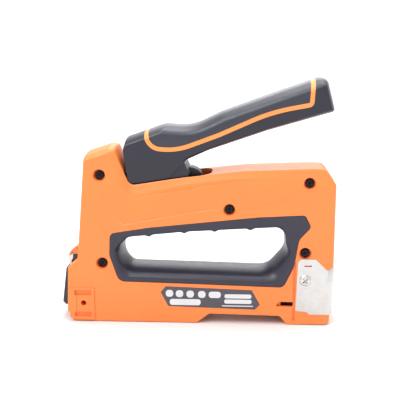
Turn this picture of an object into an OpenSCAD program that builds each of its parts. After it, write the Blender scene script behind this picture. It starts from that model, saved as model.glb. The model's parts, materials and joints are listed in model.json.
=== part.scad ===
// Forward-action hand staple gun: two moulded shells round a finger loop, a hinged
// handle that lifts a sprung striker through a rocking lever, and a rear-loading magazine.
// Millimetres. +X points to the nose, +Z up, and the base rests on Z = 0.

/* [Housing] */
// Width over the two shells
body_w = 36; // [36:0.5:40]
// Thickness of the moulded walls
wall = 2.5; // [2:0.1:2.8]
// Height of the tower behind the handle
tower_h = 124.2; // [122:0.1:125]
// Width of the slot that the handle sinks into
slot_w = 30; // [29.6:0.1:30.4]

/* [Handle] */
// Width of the handle
handle_w = 29.2; // [28:0.2:29.4]
// Depth to which the soft grip covers the handle
grip_skin = 3; // [2:0.5:4]
// Width of the inlaid stripe
stripe_w = 3; // [2:0.5:3.5]

/* [Striker] */
// Width of the striker blade
blade_w = 11.2; // [10:0.2:11.4]
// Thickness of the striker blade
blade_t = 1.2; // [0.8:0.1:1.2]
// Outside diameter of the main spring
main_spring_d = 10; // [9:0.5:10]
// Wire of the main spring
main_wire = 1.6; // [1.2:0.1:1.6]

/* [Magazine] */
// Length of the strip of staples
strip_len = 40; // [20:5:45]
// Outside width of a staple
staple_w = 11.4; // [11:0.1:11.6]
// Width of the fixed magazine channel
channel_w = 14; // [14:0.1:14.4]

/* [Fasteners] */
// Diameter of the housing screws' heads
head_d = 6; // [5:0.5:6.5]
// Radius of the hole for a belt hook
hook_hole_r = 1.95; // [1.6:0.05:2]

/* [Hidden] */
$fn = 64;

half_w = body_w / 2;
band_half_w = half_w - 0.8;      // shells along the top, above the side panels
cavity_half_w = half_w - wall;
tower_crown = 2.2;               // fall of the tower's top from the middle to the sides
part_gap = 0.3;                  // clearance between parts that move past each other
bore_gap = 0.05;                 // clearance of a pin in its running bore
rake = 2;                        // lean of the nose, label and loop, in degrees

// Axes that run across the tool, as [x, z]
handle_axis = [-36, 90];
roller_axis = [0, 94];
lifter_axis = [33, 92];
lever_tip = [82.5, 64];
latch_axis = [-85.5, 33.5];
screw_points = [[-64.8, 104.3], [24, 81.2], [78, 100], [76.1, 51.2], [-64.1, 42.3]];
plate_screw = [76.4, 32.4];
hook_point = [-77.8, 13.4];

handle_pin_r = 3;
lifter_pin_r = 2.5;
roller_r = 4;
roller_pin_r = 1.5;
frame_half_w = 5.2;
frame_t = 2;
latch_pin_r = 1.2;
boss_r = 4;
screw_r = 1.5;
plate_screw_r = 2;
tip_r = 2.5;                     // round end of the lifting lever
pilot_r = 1.7;
head_room_r = 3.85;
drive_r = 1.3;
head_h = 2.4;
head_sink = 2.2;                 // depth of the screw heads below the side

// Outlines in side view, anticlockwise, as corners [x, z, radius]
top_front = [[96.2, 98.6, 3], [88.6, 109.6, 6]];
tower = [[-44.2, 97.2, 5], [-54, tower_h - 1.8, 2], [-57.5, tower_h, 2.5], [-75.6, 118.3, 3]];
rear_edge = [[-80.5, 55.5, 12], [-81.6, 44.9, 1], [-88.4, 39, 2], [-89.6, 7.2, 2],
             [-84.3, 0, 2]];
base = [[1.8, 0, 3], [10.5, 6.7, 3], [59.2, 5.8, 3], [64, 0, 2], [93.8, 0, 3], [96, 42, 20]];
body_corners = concat(base, top_front, [[31.5, 109.6, 590]], tower, rear_edge);
panel_corners = concat(base, [[96.2, 98.6, 3], [91, 102.2, 6], [48, 104.6, 220]],
                       [[-43, 89, 4]], [for (i = [1:3]) tower[i] - [0, tower_crown, 0]], rear_edge);
loop_outer = [[-58.8, 48, 12], [-52.5, 29.6, 6], [3.9, 28.4, 0], [61.5, 26.9, 5], [68.6, 42, 10],
              [71.6, 61, 8], [79.6, 69.8, 3], [75.5, 78, 3], [43.6, 76.2, 60], [-31.1, 68.1, 60],
              [-58.3, 63.6, 4]];
loop_inner = [[-44, 39.4, 8], [49.5, 37.4, 14], [63, 52.5, 12], [61, 69, 7], [-6.4, 65, 90],
              [-48.6, 60.6, 8], [-51.5, 47, 12]];
handle_corners = [[-45, 97.6, 4.5], [-43, 81.5, 6], [-30, 80, 8], [-8, 98, 4], [-3, 105.5, 2],
                  [-6.7, 113.2, 2], [8.5, 120, 50], [49.5, 134.2, 60], [94.8, 147.4, 2.5],
                  [89.2, 168, 4], [84, 170.2, 6], [59.8, 161.9, 60],
                  [18.3, 147, 40], [-2, 137, 34], [-20.4, 138.3, 10], [-47.4, 128.6, 3],
                  [-49.6, 122, 10], [-47.2, 106, 12]];
stripe_outer = [[81, 175, 0], [-34.6, 175, 0], [-34.6, 134, 0], [-33.2, 121.4, 11.5],
                [-12, 119.7, 45], [17, 130.6, 60], [52, 146.4, 40], [79.6, 151.4, 4]];
core_corners = [[-40, 112, 0], [-10, 116.5, 5], [15, 127.5, 40], [50, 142.5, 40], [76, 148.5, 3],
                [75.5, 163.2, 3], [59.8, 158.2, 60], [18.3, 143.2, 40], [-2, 133.4, 34],
                [-20.4, 134.6, 5], [-38, 128.6, 3]];
frame_corners = [[-42, 83.5, 5], [-30, 82.5, 6], [-9, 93, 8], [-4.5, 89, 4], [4.6, 89, 4.5],
                 [6.2, 108.2, 9], [-14, 108.6, 3], [-15, 117.5, 3], [-41, 117.5, 5]];
lever_corners = [[-6, 84.2, 2], [8, 86.8, 6], [26, 89.5, 4], [36, 85.5, 6], [62.5, 73.5, 4],
                 [68.5, 61.2, 3], [lever_tip.x, lever_tip.y - tip_r, 0],
                 [lever_tip.x, lever_tip.y + tip_r, 0], [75, 66.4, 3], [70, 80.5, 6],
                 [44, 96.5, 10], [25, 95, 8], [4, 89.7, 8], [-6, 89.7, 1.5]];
label_corners = [[-18.2, 12.2, 0.5], [42.2, 10.6, 0.5], [45.5, 14.3, 0.5], [39.8, 24.6, 0.5],
                 [-19.9, 26.5, 0.5], [-23.5, 22.3, 0.5]];
plate_corners = [[70.1, 10.2, 1], [78, 9.7, 1], [79.5, 7.8, 1], [98, 7.8, 0], [98, 41.6, 0],
                 [94.6, 41.6, 1], [92.6, 39.8, 1], [91, 39.8, 1], [83.5, 47.3, 1],
                 [73.3, 47.5, 1], [71.3, 45, 1]];
latch_corners = [[-92.4, 8.8, 0.8], [-91, 9, 0.6], [-90.2, 30, 1], [-90.2, 36.4, 0.4],
                 [-91.3, 36.4, 0.6], [-92.4, 28, 3], [-94.5, 11, 1]];

function xz(p) = [p[0], p[1]];
function unit(v) = v / norm(v);
function left_of(v) = [-v.y, v.x];
function turned(v, t) = [v.x * cos(t) - v.y * sin(t), v.x * sin(t) + v.y * cos(t)];
function turn_at(a, b, c) = let (u = unit(b - a), w = unit(c - b))
    atan2(u.x * w.y - u.y * w.x, u * w);

// One corner of an outline, as the points of its arc
function corner_arc(a, b, c, r) =
    let (t = turn_at(a, b, c), u = unit(b - a), start = b - u * r * tan(abs(t) / 2),
         centre = start + sign(t) * r * left_of(u), n = max(2, ceil(abs(t) / 14)))
    r <= 0 || abs(t) < 0.2 ? [b] : [for (i = [0:n]) centre + turned(start - centre, t * i / n)];

function rounded(c) = let (n = len(c))
    [for (i = [0:n - 1])
        each corner_arc(xz(c[(i + n - 1) % n]), xz(c[i]), xz(c[(i + 1) % n]), c[i][2])];

// Corners moved inwards by d, with their radii kept concentric
function inset(c, d) = let (n = len(c))
    [for (i = [0:n - 1])
        let (a = xz(c[(i + n - 1) % n]), b = xz(c[i]), e = xz(c[(i + 1) % n]),
             t = turn_at(a, b, e), out = unit(left_of(unit(b - a)) + left_of(unit(e - b))),
             p = b + out * d / cos(t / 2))
        [p.x, p.y, max(0, c[i][2] - sign(t) * d)]];

// A helix along +Z as a closed sweep of a round wire
function helix_ring(r, wire, angle, z, sides) =
    [for (k = [0:sides - 1]) let (q = r + wire / 2 * cos(360 * k / sides))
        [q * cos(angle), q * sin(angle), z + wire / 2 * sin(360 * k / sides)]];

module helix(r, wire, len, turns, steps = 14, sides = 6) {
    rings = round(turns * steps);
    rise = len - wire;
    points = [for (i = [0:rings])
        each helix_ring(r, wire, 360 * i / steps, wire / 2 + rise * i / rings, sides)];
    sides_faces = [for (i = [0:rings - 1], k = [0:sides - 1], half = [0, 1])
        let (a = i * sides + k, b = i * sides + (k + 1) % sides)
        half == 0 ? [a, b, b + sides] : [a, b + sides, a + sides]];
    ends = [[for (k = [sides - 1:-1:0]) k], [for (k = [0:sides - 1]) rings * sides + k]];
    polyhedron(points, concat(sides_faces, ends), convexity = 8);
}

// Plates and pins that lie across the tool, from y0 to y1
module slab(y0, y1) {
    translate([0, y1, 0]) rotate([90, 0, 0]) linear_extrude(y1 - y0) children();
}
module plate(corners, y0, y1) {
    slab(y0, y1) polygon(rounded(corners));
}
module bar(p, r, y0, y1) {
    translate([p[0], y1, p[1]]) rotate([90, 0, 0]) cylinder(r = r, h = y1 - y0);
}
module block(lo, hi) {
    translate(lo) cube(hi - lo);
}
module mirrored_y() {
    mirror([0, 1, 0]) children();
}
module both_sides() {
    children();
    mirrored_y() children();
}

// Nose: bent steel plate, leaning back with the nose's rake
plate_t = 1.2;
plate_half_w = half_w + 0.6;
bend_r = 4.5;
nose_x = 96.6;
module bent_nose(skin) {
    r = bend_r - skin;
    w = plate_half_w - skin;
    translate([nose_x, 0, 45]) rotate([0, rake, 0]) translate([0, 0, -45]) {
        block([-30, -w + r, 0], [-skin, w - r, 52]);
        block([-30, -w, 0], [-skin - r, w, 52]);
        both_sides() translate([-skin - r, -w + r, 0]) cylinder(r = r, h = 52);
    }
}

// Shells ------------------------------------------------------------------------------
slot_rear_x = -48.6;
slot_end_x = 11.7;
slot_end_r = 10;
module handle_slot() {
    translate([0, 0, 92]) linear_extrude(24) {
        translate([slot_rear_x, -slot_w / 2])
            square([slot_end_x - slot_end_r - slot_rear_x, slot_w]);
        translate([slot_rear_x, slot_end_r - slot_w / 2])
            square([slot_end_x - slot_rear_x, slot_w - 2 * slot_end_r]);
        for (s = [-1, 1]) translate([slot_end_x - slot_end_r, s * (slot_w / 2 - slot_end_r)])
            circle(slot_end_r);
    }
}

magazine_slot_half_w = channel_w / 2 + 0.3;
rear_slot_half_w = 9.2;
pad_half_w = half_w + 1;
hook_recess = 0.6;
hook_depth = 8;
module pad_sockets() {
    y = -pad_half_w;
    block([-84, y - 1, 19.1], [-72.3, y + 2, 22.9]);
    block([-84, y - 1, 3.6], [-72.3, y + 2, 7]);
    block([-83, y - 1, 7], [-73, y + hook_recess, 19.1]);
    bar(hook_point, hook_hole_r, y - 1, y + hook_recess + hook_depth);
}

module shell_walls() {
    difference() {
        union() {
            plate(body_corners, -band_half_w, 0);
            plate(panel_corners, -half_w, 0);
            plate([[-87.6, 2, 2], [-70, 1.2, 1], [-70, 24.7, 1], [-88.4, 24.4, 2]], -pad_half_w, 0);
        }
        plate(inset(body_corners, wall), -cavity_half_w, 1);
    }
}

module shell_ribs() {
    for (x = [-62, -30, 0, 30, 58]) block([x, -cavity_half_w, 6], [x + 2, -channel_w / 2, 18]);
    for (x = [83, 89]) block([x, -cavity_half_w, 44], [x + 2, -7.3, 95]);
    block([81, -cavity_half_w, 43.4], [93.8, -1.5, 45.9]);
    block([82.6, -cavity_half_w, 97.6], [90.8, -2, 99.6]);
    bar(hook_point, boss_r, -cavity_half_w - 0.5, -9.5);
    for (p = screw_points) bar(p, boss_r, -cavity_half_w - 0.5, 0);
    bar(handle_axis, 6, -cavity_half_w - 0.5, -14.9);
    bar(lifter_axis, 5, -cavity_half_w - 0.5, -5);
}

// Thin cover over the latch's strike, moulded on the right shell only
module rear_hood() {
    plate([[-80, 47.4, 0], [-84.6, 47.9, 1], [-89.7, 43.9, 1.5], [-90, 39.2, 0.3],
           [-91, 39.2, 0.3], [-90.7, 44.9, 2.5], [-85.1, 49.6, 2], [-80, 49.6, 0]], -9, 0);
}

module shell_half() {
    difference() {
        union() {
            shell_walls();
            shell_ribs();
        }
        plate(loop_outer, -half_w - 1, 1);
        handle_slot();
        block([-90, -magazine_slot_half_w, -1], [90.4, 1, 15]);
        block([-98, -rear_slot_half_w, 4.5], [-84, 1, 38.2]);
        block([-98, -rear_slot_half_w, 38], [-80, 1, 47.9]);
        bar(handle_axis, handle_pin_r, -cavity_half_w - 1, 1);
        bar(lifter_axis, lifter_pin_r, -cavity_half_w - 1, 1);
        bar(plate_screw, plate_screw_r, -half_w - 1, 1);
        pad_sockets();
        block([68.1, -half_w - 1, 2.8], [69.8, -half_w + 1.2, 45.3]);
        plate([[56.5, 13.1, 0.5], [68.3, 13, 0], [68.3, 16.5, 0], [58.5, 16.7, 0.5]],
              -half_w - 1, -cavity_half_w + 0.5);
        intersection() {
            bent_nose(0);
            plate(plate_corners, -plate_half_w - 1, 1);
            union() {
                block([60, -plate_half_w - 1, 0], [99, -plate_half_w + plate_t, 60]);
                difference() {
                    block([60, -plate_half_w - 1, 0], [99, 1, 60]);
                    bent_nose(plate_t);
                }
            }
        }
        block([86.9, -6.4, 40], [88.7, 1, 50]);
        block([86.6, -7.05, 0.2], [90.3, 1, 46]);
    }
}

module housing_left() {
    color("darkorange") difference() {
        shell_half();
        for (p = screw_points) {
            bar(p, head_room_r, -half_w - 1, -half_w + head_sink + head_h);
            bar(p, pilot_r, -half_w - 1, 1);
        }
    }
}

module housing_right() {
    color("darkorange") mirrored_y() {
        difference() {
            shell_half();
            for (p = screw_points) bar(p, screw_r, -half_w + 4, 1);
        }
        rear_hood();
    }
}

// Half of the dark insert: a rim on the side and a wall that lines the finger loop
insert_sink = 0.2;
insert_skin = 2.8;
loop_wall = 3;
module insert_half() {
    color("dimgray") difference() {
        plate(loop_outer, -half_w + insert_sink, 0);
        plate(loop_inner, -half_w - 1, 1);
        difference() {
            plate(inset(loop_outer, -1), -half_w + insert_sink + insert_skin, 1);
            plate(inset(loop_inner, -loop_wall), -half_w - 1, 2);
        }
    }
}
module grip_insert_left() insert_half();
module grip_insert_right() mirrored_y() insert_half();

module housing_screws() {
    color([0.15, 0.15, 0.16]) for (p = screw_points) difference() {
        union() {
            bar(p, head_d / 2, -half_w + head_sink, -half_w + head_sink + head_h);
            bar(p, screw_r, -half_w + head_sink, half_w - 5);
        }
        bar(p, drive_r, -half_w, -half_w + head_sink + 1.4);
    }
}

module nose_plate() {
    color("silver") difference() {
        intersection() {
            difference() {
                bent_nose(0);
                bent_nose(plate_t);
            }
            plate(plate_corners, -plate_half_w - 1, plate_half_w + 1);
        }
        bar(plate_screw, plate_screw_r, -30, 30);
        both_sides() block([75.6, -plate_half_w - 1, 42.2], [80.7, -plate_half_w + 2, 43.1]);
    }
}

plate_head_r = 4;
plate_head_h = 1.6;
module nose_plate_screws() {
    color("gainsboro") both_sides() difference() {
        union() {
            bar(plate_screw, plate_head_r, -plate_half_w - plate_head_h, -plate_half_w);
            bar(plate_screw, plate_screw_r, -plate_half_w - 0.5, -cavity_half_w - 1);
        }
        for (a = [0, 90]) translate([plate_screw[0], -plate_half_w - plate_head_h, plate_screw[1]])
            rotate([0, a + 40, 0]) cube([4.4, 2, 0.9], center = true);
    }
}

label_t = 0.2;
module side_label() {
    color([0.2, 0.2, 0.22]) plate(label_corners, -half_w - label_t, -half_w);
}

// Handle ------------------------------------------------------------------------------
handle_half_w = handle_w / 2;
// Round-edged slab of the handle, as three widths of an ever smaller outline
module handle_form() {
    for (step = [[0, 4.5], [1.4, 1.6], [3, 0]])
        plate(inset(handle_corners, step[0]), -handle_half_w + step[1], handle_half_w - step[1]);
}
module frame_room(extra) {
    plate(inset(frame_corners, -extra), -frame_half_w - extra, frame_half_w + extra);
}
module handle_core() {
    plate(core_corners, -handle_half_w + grip_skin + 2, handle_half_w - grip_skin - 2);
}

module handle_body() {
    color([0.24, 0.25, 0.28]) difference() {
        union() {
            difference() {
                handle_form();
                plate(stripe_outer, -20, 20);
            }
            handle_core();
        }
        frame_room(0);
        bar(handle_axis, handle_pin_r + 0.2, -20, 20);
        bar(handle_axis, 6.4, -10, 10);
    }
}

module soft_grip() {
    color([0.3, 0.31, 0.34]) difference() {
        intersection() {
            handle_form();
            plate(inset(stripe_outer, stripe_w), -20, 20);
        }
        handle_core();
    }
}

module grip_stripe() {
    color("orange") difference() {
        intersection() {
            handle_form();
            difference() {
                plate(stripe_outer, -20, 20);
                plate(inset(stripe_outer, stripe_w), -21, 21);
            }
        }
        handle_core();
    }
}

module handle_frame() {
    color("silver") difference() {
        frame_room(0);
        plate(inset(frame_corners, frame_t), -frame_half_w + frame_t, frame_half_w - frame_t);
        block([-8, -frame_half_w + frame_t, 86], [5.2, frame_half_w - frame_t, 99]);
        bar(handle_axis, handle_pin_r + bore_gap, -20, 20);
        bar(roller_axis, roller_pin_r, -20, 20);
    }
}

module handle_pin() {
    color("silver") bar(handle_axis, handle_pin_r, -cavity_half_w, cavity_half_w);
}

module handle_pin_rings() {
    color("dimgray") both_sides() difference() {
        bar(handle_axis, handle_pin_r + 0.7, -3, -2);
        bar(handle_axis, handle_pin_r, -4, 0);
    }
}

return_coil_r = 4.6;
return_wire = 1.2;
module return_spring() {
    color("gray") {
        translate([handle_axis[0], -9.7, handle_axis[1]]) rotate([-90, 0, 0])
            helix(return_coil_r, return_wire, 4.2, 3.25);
        translate([handle_axis[0], -9.1, handle_axis[1] - return_coil_r]) rotate([0, -90, 0])
            cylinder(d = return_wire - 0.1, h = 4, $fn = 24);
    }
}

module roller() {
    color("silver") difference() {
        bar(roller_axis, roller_r, -2.9, 2.9);
        bar(roller_axis, roller_pin_r + bore_gap, -5, 5);
    }
}

module roller_pin() {
    color("gray") bar(roller_axis, roller_pin_r, -frame_half_w, frame_half_w);
}

// Striker ------------------------------------------------------------------------------
lever_half_t = 2.5;
module lifter_lever() {
    color("slategray") difference() {
        union() {
            bar(lifter_axis, 6, -lever_half_t - 1.5, lever_half_t + 1.5);
            plate(lever_corners, -lever_half_t, lever_half_t);
            bar(lever_tip, tip_r, -lever_half_t, lever_half_t);
        }
        bar(lifter_axis, lifter_pin_r + bore_gap, -20, 20);
    }
}
module lifter_pin() {
    color("silver") bar(lifter_axis, lifter_pin_r, -cavity_half_w, cavity_half_w);
}

spring_x = 87.6;
spring_foot_z = 70;
spring_top_z = 95.5;
carriage_lo = [80.8, -7, 52];
carriage_hi = [92.4, 7, 76];
blade_x = 87.2;
blade_foot_z = 0.8;
blade_top_z = 58;
blade_pin_r = 1.2;
blade_pin_z = 55.5;

module blade_pin_bar() {
    translate([carriage_lo.x, 0, blade_pin_z]) rotate([0, 90, 0])
        cylinder(r = blade_pin_r, h = carriage_hi.x - carriage_lo.x);
}

module striker_carriage() {
    color("dimgray") difference() {
        block(carriage_lo, carriage_hi);
        block([80, -3.3, 58.6], [91.5, 3.3, lever_tip[1] + tip_r + part_gap]);
        translate([spring_x, 0, spring_foot_z]) cylinder(d = main_spring_d + 0.3, h = 20);
        block([blade_x, -blade_w / 2, 50], [blade_x + blade_t, blade_w / 2, blade_top_z]);
        blade_pin_bar();
    }
}

module striker_blade() {
    color("silver") difference() {
        block([blade_x, -blade_w / 2, blade_foot_z], [blade_x + blade_t, blade_w / 2, blade_top_z]);
        blade_pin_bar();
    }
}

module blade_pin() {
    color("gray") blade_pin_bar();
}

module main_spring() {
    color("gray") translate([spring_x, 0, spring_foot_z])
        helix((main_spring_d - main_wire) / 2, main_wire, spring_top_z - spring_foot_z, 6.5);
}

module spring_cap() {
    color("dimgray") translate([spring_x, 0, spring_top_z]) {
        cylinder(r = 5, h = 2);
        translate([0, 0, -4]) cylinder(r = 3, h = 4.5);
    }
}

module bumper() {
    color([0.12, 0.12, 0.12]) difference() {
        block([81, -7, 45.9], [92.8, 7, carriage_lo.z - part_gap]);
        block([86.8, -6, 40], [88.8, 6, 60]);
    }
}

module nose_guide() {
    color("silver") difference() {
        block([86.9, -7, 0.4], [90.2, 7, 43.2]);
        block([80, -5.9, -1], [88.7, 5.9, 60]);
    }
}

// Magazine ----------------------------------------------------------------------------
channel_half_w = channel_w / 2;
channel_t = 1;
strip_front_x = 86.8;
strip_top_z = 14.6;
rail_half_w = 4.4;
rail_t = 0.8;
rail_top_z = 13.3;
rod_z = 11;
rod_r = 1.2;
pusher_front_x = strip_front_x - strip_len - part_gap;
pusher_back_x = pusher_front_x - 10;
rail_back_x = -84;
channel_back_x = -78.2;

module magazine_channel() {
    color("lightgray") difference() {
        block([channel_back_x, -channel_half_w, 7], [86.4, channel_half_w, 16]);
        block([-100, -channel_half_w + channel_t, 7.8],
              [99, channel_half_w - channel_t, 16 - channel_t]);
        block([-100, -5, 6], [99, 5, 9]);
    }
}

module staple_strip() {
    color("gainsboro") difference() {
        block([strip_front_x - strip_len, -staple_w / 2, 8.1],
              [strip_front_x, staple_w / 2, strip_top_z]);
        block([0, -staple_w / 2 + 1, 7], [90, staple_w / 2 - 1, strip_top_z - 1]);
        for (x = [strip_front_x - 1.25:-1.25:strip_front_x - strip_len + 1])
            both_sides() block([x - 0.1, -staple_w / 2 - 1, 7], [x, -staple_w / 2 + 0.15, 20]);
    }
}

module magazine_rail() {
    color("lightgray") difference() {
        block([rail_back_x, -rail_half_w, 7.9], [84, rail_half_w, rail_top_z]);
        block([-90, -rail_half_w + rail_t, 7.9 + rail_t], [83, rail_half_w - rail_t, 20]);
    }
}

module rail_end_block() {
    color([0.2, 0.2, 0.22]) difference() {
        union() {
            block([-87, -6.8, 7.9], [-79.2, 6.8, 30]);
            plate([[-87, 24, 0], [-79.2, 24, 0], [-81.5, 37, 2.5], [-88.3, 37, 2.5]], -6.8, 6.8);
        }
        block([-84, -rail_half_w, 7], [-70, rail_half_w, rail_top_z]);
        bar(latch_axis, latch_pin_r, -20, 20);
        translate([-85, 0, rod_z]) rotate([0, 90, 0]) cylinder(r = rod_r, h = 30);
        translate([-88.6, 0, 20]) rotate([0, 90, 0]) cylinder(r = 2.4, h = 3);
    }
}

module pusher_rod() {
    color("silver") translate([-85, 0, rod_z]) rotate([0, 90, 0]) cylinder(r = rod_r, h = 168);
}

module pusher() {
    color("dimgray") difference() {
        block([pusher_back_x, -5.6, 8.2], [pusher_front_x, 5.6, 14.5]);
        difference() {
            block([0, -rail_half_w - part_gap, 5], [80, rail_half_w + part_gap, rail_top_z + part_gap]);
            block([pusher_back_x, -3.2, 9.1], [pusher_back_x + 3.5, 3.2, 20]);
        }
        translate([0, 0, rod_z]) rotate([0, 90, 0]) cylinder(r = rod_r + bore_gap, h = 80);
    }
}

module pusher_spring() {
    color("gray") translate([-79, 0, rod_z]) rotate([0, 90, 0])
        helix(1.9, 0.6, pusher_back_x + 79, 18, 10, 5);
}

module rear_latch() {
    color([0.22, 0.22, 0.25]) difference() {
        union() {
            plate(latch_corners, -8.6, 8.6);
            both_sides() plate([[-91, 24, 1], [-85, 30, 2], [-82.8, 32, 2], [-83, 36.4, 2],
                                [-91, 36.4, 1]], -8.6, -7.1);
        }
        bar(latch_axis, latch_pin_r + bore_gap, -20, 20);
    }
}

module latch_pin() {
    color("silver") bar(latch_axis, latch_pin_r, -8.9, 8.9);
}

module latch_spring() {
    color("gray") translate([-90.5, 0, 20]) rotate([0, 90, 0]) helix(1.7, 0.5, 4.6, 4, 10, 5);
}

module latch_strike() {
    color("silver") {
        plate([[-89.6, 38.6, 0.3], [-87.6, 38.6, 0.3], [-87.4, 43, 1], [-84.4, 45.4, 1],
               [-80.5, 45.4, 0.3], [-80.5, 46.9, 0.3], [-85, 46.9, 1.5], [-89.5, 43.6, 1.5]], -8, 8);
    }
}

housing_left();
housing_right();
grip_insert_left();
grip_insert_right();
housing_screws();
nose_plate();
nose_plate_screws();
side_label();
handle_body();
soft_grip();
grip_stripe();
handle_frame();
handle_pin();
handle_pin_rings();
return_spring();
roller();
roller_pin();
lifter_lever();
lifter_pin();
striker_carriage();
striker_blade();
blade_pin();
main_spring();
spring_cap();
bumper();
nose_guide();
magazine_channel();
staple_strip();
magazine_rail();
rail_end_block();
pusher_rod();
pusher();
pusher_spring();
rear_latch();
latch_pin();
latch_spring();
latch_strike();
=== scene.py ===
"""Looks of the forward-action staple gun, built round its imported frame.

Shapes are written in mm, in side view (x, z) with y across the tool, and make() turns them into
metres. Lights, camera and floor are in metres.
"""
import json
import math

import bmesh
import bpy
import numpy as np
from mathutils import Matrix, Vector


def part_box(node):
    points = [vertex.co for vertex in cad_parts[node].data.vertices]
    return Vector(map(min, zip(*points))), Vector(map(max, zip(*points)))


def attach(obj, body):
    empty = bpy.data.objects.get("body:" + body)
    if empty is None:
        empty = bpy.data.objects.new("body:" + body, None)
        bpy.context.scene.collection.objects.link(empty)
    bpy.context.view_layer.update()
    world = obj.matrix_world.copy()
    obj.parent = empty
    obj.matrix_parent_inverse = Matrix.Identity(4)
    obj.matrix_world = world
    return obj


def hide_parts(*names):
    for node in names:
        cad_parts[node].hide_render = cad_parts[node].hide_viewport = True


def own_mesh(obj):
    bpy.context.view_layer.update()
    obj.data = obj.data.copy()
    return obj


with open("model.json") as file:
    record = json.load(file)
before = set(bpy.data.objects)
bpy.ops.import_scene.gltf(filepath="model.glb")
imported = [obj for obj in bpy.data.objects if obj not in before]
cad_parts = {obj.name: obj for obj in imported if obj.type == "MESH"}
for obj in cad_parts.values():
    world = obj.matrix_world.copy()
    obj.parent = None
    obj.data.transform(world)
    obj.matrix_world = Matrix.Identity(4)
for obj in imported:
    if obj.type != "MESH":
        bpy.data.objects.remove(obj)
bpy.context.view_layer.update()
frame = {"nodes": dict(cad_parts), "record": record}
NODES = frame["nodes"]
MM = 0.001

# Outlines in side view, in mm, anticlockwise, as corners (x, z, radius) -----------------
BASE = [(1.8, 0, 3), (10.5, 6.7, 3), (59.2, 5.8, 3), (64, 0, 2), (93.8, 0, 3), (96, 42, 20)]
REAR = [(-80.5, 55.5, 12), (-81.6, 44.9, 1), (-88.4, 39, 2), (-89.6, 7.2, 2), (-84.3, 0, 2)]
TOWER = [(-55, 125, 4), (-75.6, 118.3, 3)]
LOOP_OUTER = [(-58.8, 48, 12), (-52.5, 29.6, 6), (3.9, 28.4, 0.5), (61.5, 26.9, 5), (68.6, 42, 10),
              (71.6, 61, 8), (79.6, 69.8, 3), (75.5, 78, 3), (43.6, 76.2, 60), (-31.1, 68.1, 60),
              (-58.3, 63.6, 4)]
LOOP_INNER = [(-44, 39.4, 6), (49.5, 37.4, 14), (63, 52.5, 12), (61, 69, 7), (-6.4, 65, 90),
              (-48.6, 60.6, 8), (-51.5, 47, 12)]
HANDLE = [(-46, 98.2, 5), (-40.6, 96.4, 1), (-41.5, 81.5, 6), (-30, 80, 8), (-8, 98, 4),
          (-3, 105.5, 2), (-6.7, 113.2, 2), (8.5, 120, 50), (49.5, 134.2, 60), (94.8, 147.4, 2.5),
          (89.2, 168, 4), (84, 170.2, 6), (59.8, 161.9, 60), (18.3, 147, 40), (-2, 137, 34),
          (-20.4, 138.3, 10), (-47.4, 128.6, 3), (-49.6, 122, 6), (-47.2, 106, 12)]
STRIPE = [(81, 175, 0), (-34.6, 175, 0), (-34.6, 134, 0), (-33.2, 121.4, 11.5), (-12, 119.7, 45),
          (17, 130.6, 60), (52, 146.2, 120), (79.6, 151.4, 4)]
FRAME_ROOM = [(-42, 83.5, 5), (-30, 82.5, 6), (-9, 93, 8), (-4.5, 89, 4), (4.6, 89, 4.5),
              (6.2, 108.2, 9), (-14, 108.6, 3), (-15, 117.5, 3), (-41, 117.5, 5)]
LABEL = [(-18.2, 12.2, 0.5), (42.2, 10.6, 0.5), (45.5, 14.3, 0.5), (39.8, 24.6, 0.5),
         (-19.9, 26.5, 0.5), (-23.5, 22.3, 0.5)]
LATCH = [(-92.4, 8.8, 0.8), (-91, 9, 0.6), (-90.2, 30, 1), (-90.2, 36.4, 0.4),
         (-91.3, 36.4, 0.6), (-92.4, 28, 3), (-94.5, 11, 1)]
LATCH_EAR = [(-91, 24, 1), (-85, 30, 2), (-82.8, 32, 2), (-83, 36.4, 2), (-91, 36.4, 1)]
STRIKE_EAR = [(-89.5, 38.9, 0.6), (-86.4, 42.9, 0.3), (-86.2, 46.6, 0.3), (-89, 44.5, 1)]
STRIKE_BACKING = [(-86.2, 39, 0.3), (-82.3, 39, 0), (-82.3, 46.3, 0), (-86.2, 46.3, 0.3)]
HOOD_CHEEK = [(-86.2, 46.8, 0.3), (-81, 46.4, 0), (-81, 49.9, 0), (-84.9, 49.4, 1.5)]

# Centres and levels, in mm --------------------------------------------------------------
SCREWS = [(-64.8, 104.3), (24, 81.2), (78, 100), (76.1, 51.2), (-64.1, 42.3)]
SCREW_HEAD_Y = -15.8
PLATE_SCREW = (76.4, 32.4)
HANDLE_AXIS = (-36, 90)
LATCH_AXIS = (-85.5, 33.5)
MAIN_SPRING_X, MAIN_SPRING_FOOT, MAIN_SPRING_TOP = 87.6, 70, 95.5
STRIKER_TRAVEL, PUSHER_TRAVEL = 14.5, 80
PAST = 20  # a Y that is outside every piece, for cuts that go right through


# Outline and mesh tools -----------------------------------------------------------------
def inset(corners, dists):
    """Corners moved inwards, by one distance or one per edge (edge i runs from corner i)."""
    n = len(corners)
    d = [dists] * n if isinstance(dists, (int, float)) else dists
    out = []
    for i in range(n):
        a, b, c = (np.array(corners[(i + k) % n][:2], float) for k in (-1, 0, 1))
        u, w = (b - a) / np.linalg.norm(b - a), (c - b) / np.linalg.norm(c - b)
        nu, nw = np.array([-u[1], u[0]]), np.array([-w[1], w[0]])
        cross = u[0] * w[1] - u[1] * w[0]
        du, dw = d[(i - 1) % n], d[i]
        if abs(cross) < 0.03:
            p = b + (nu * du + nw * dw) / 2
        else:
            m = np.array([nu, nw])
            p = b + np.linalg.solve(m, np.array([du, dw]))
        mean = (du + dw) / 2
        out.append((p[0], p[1], max(0.02, corners[i][2] - math.copysign(mean, cross))))
    return out


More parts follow.
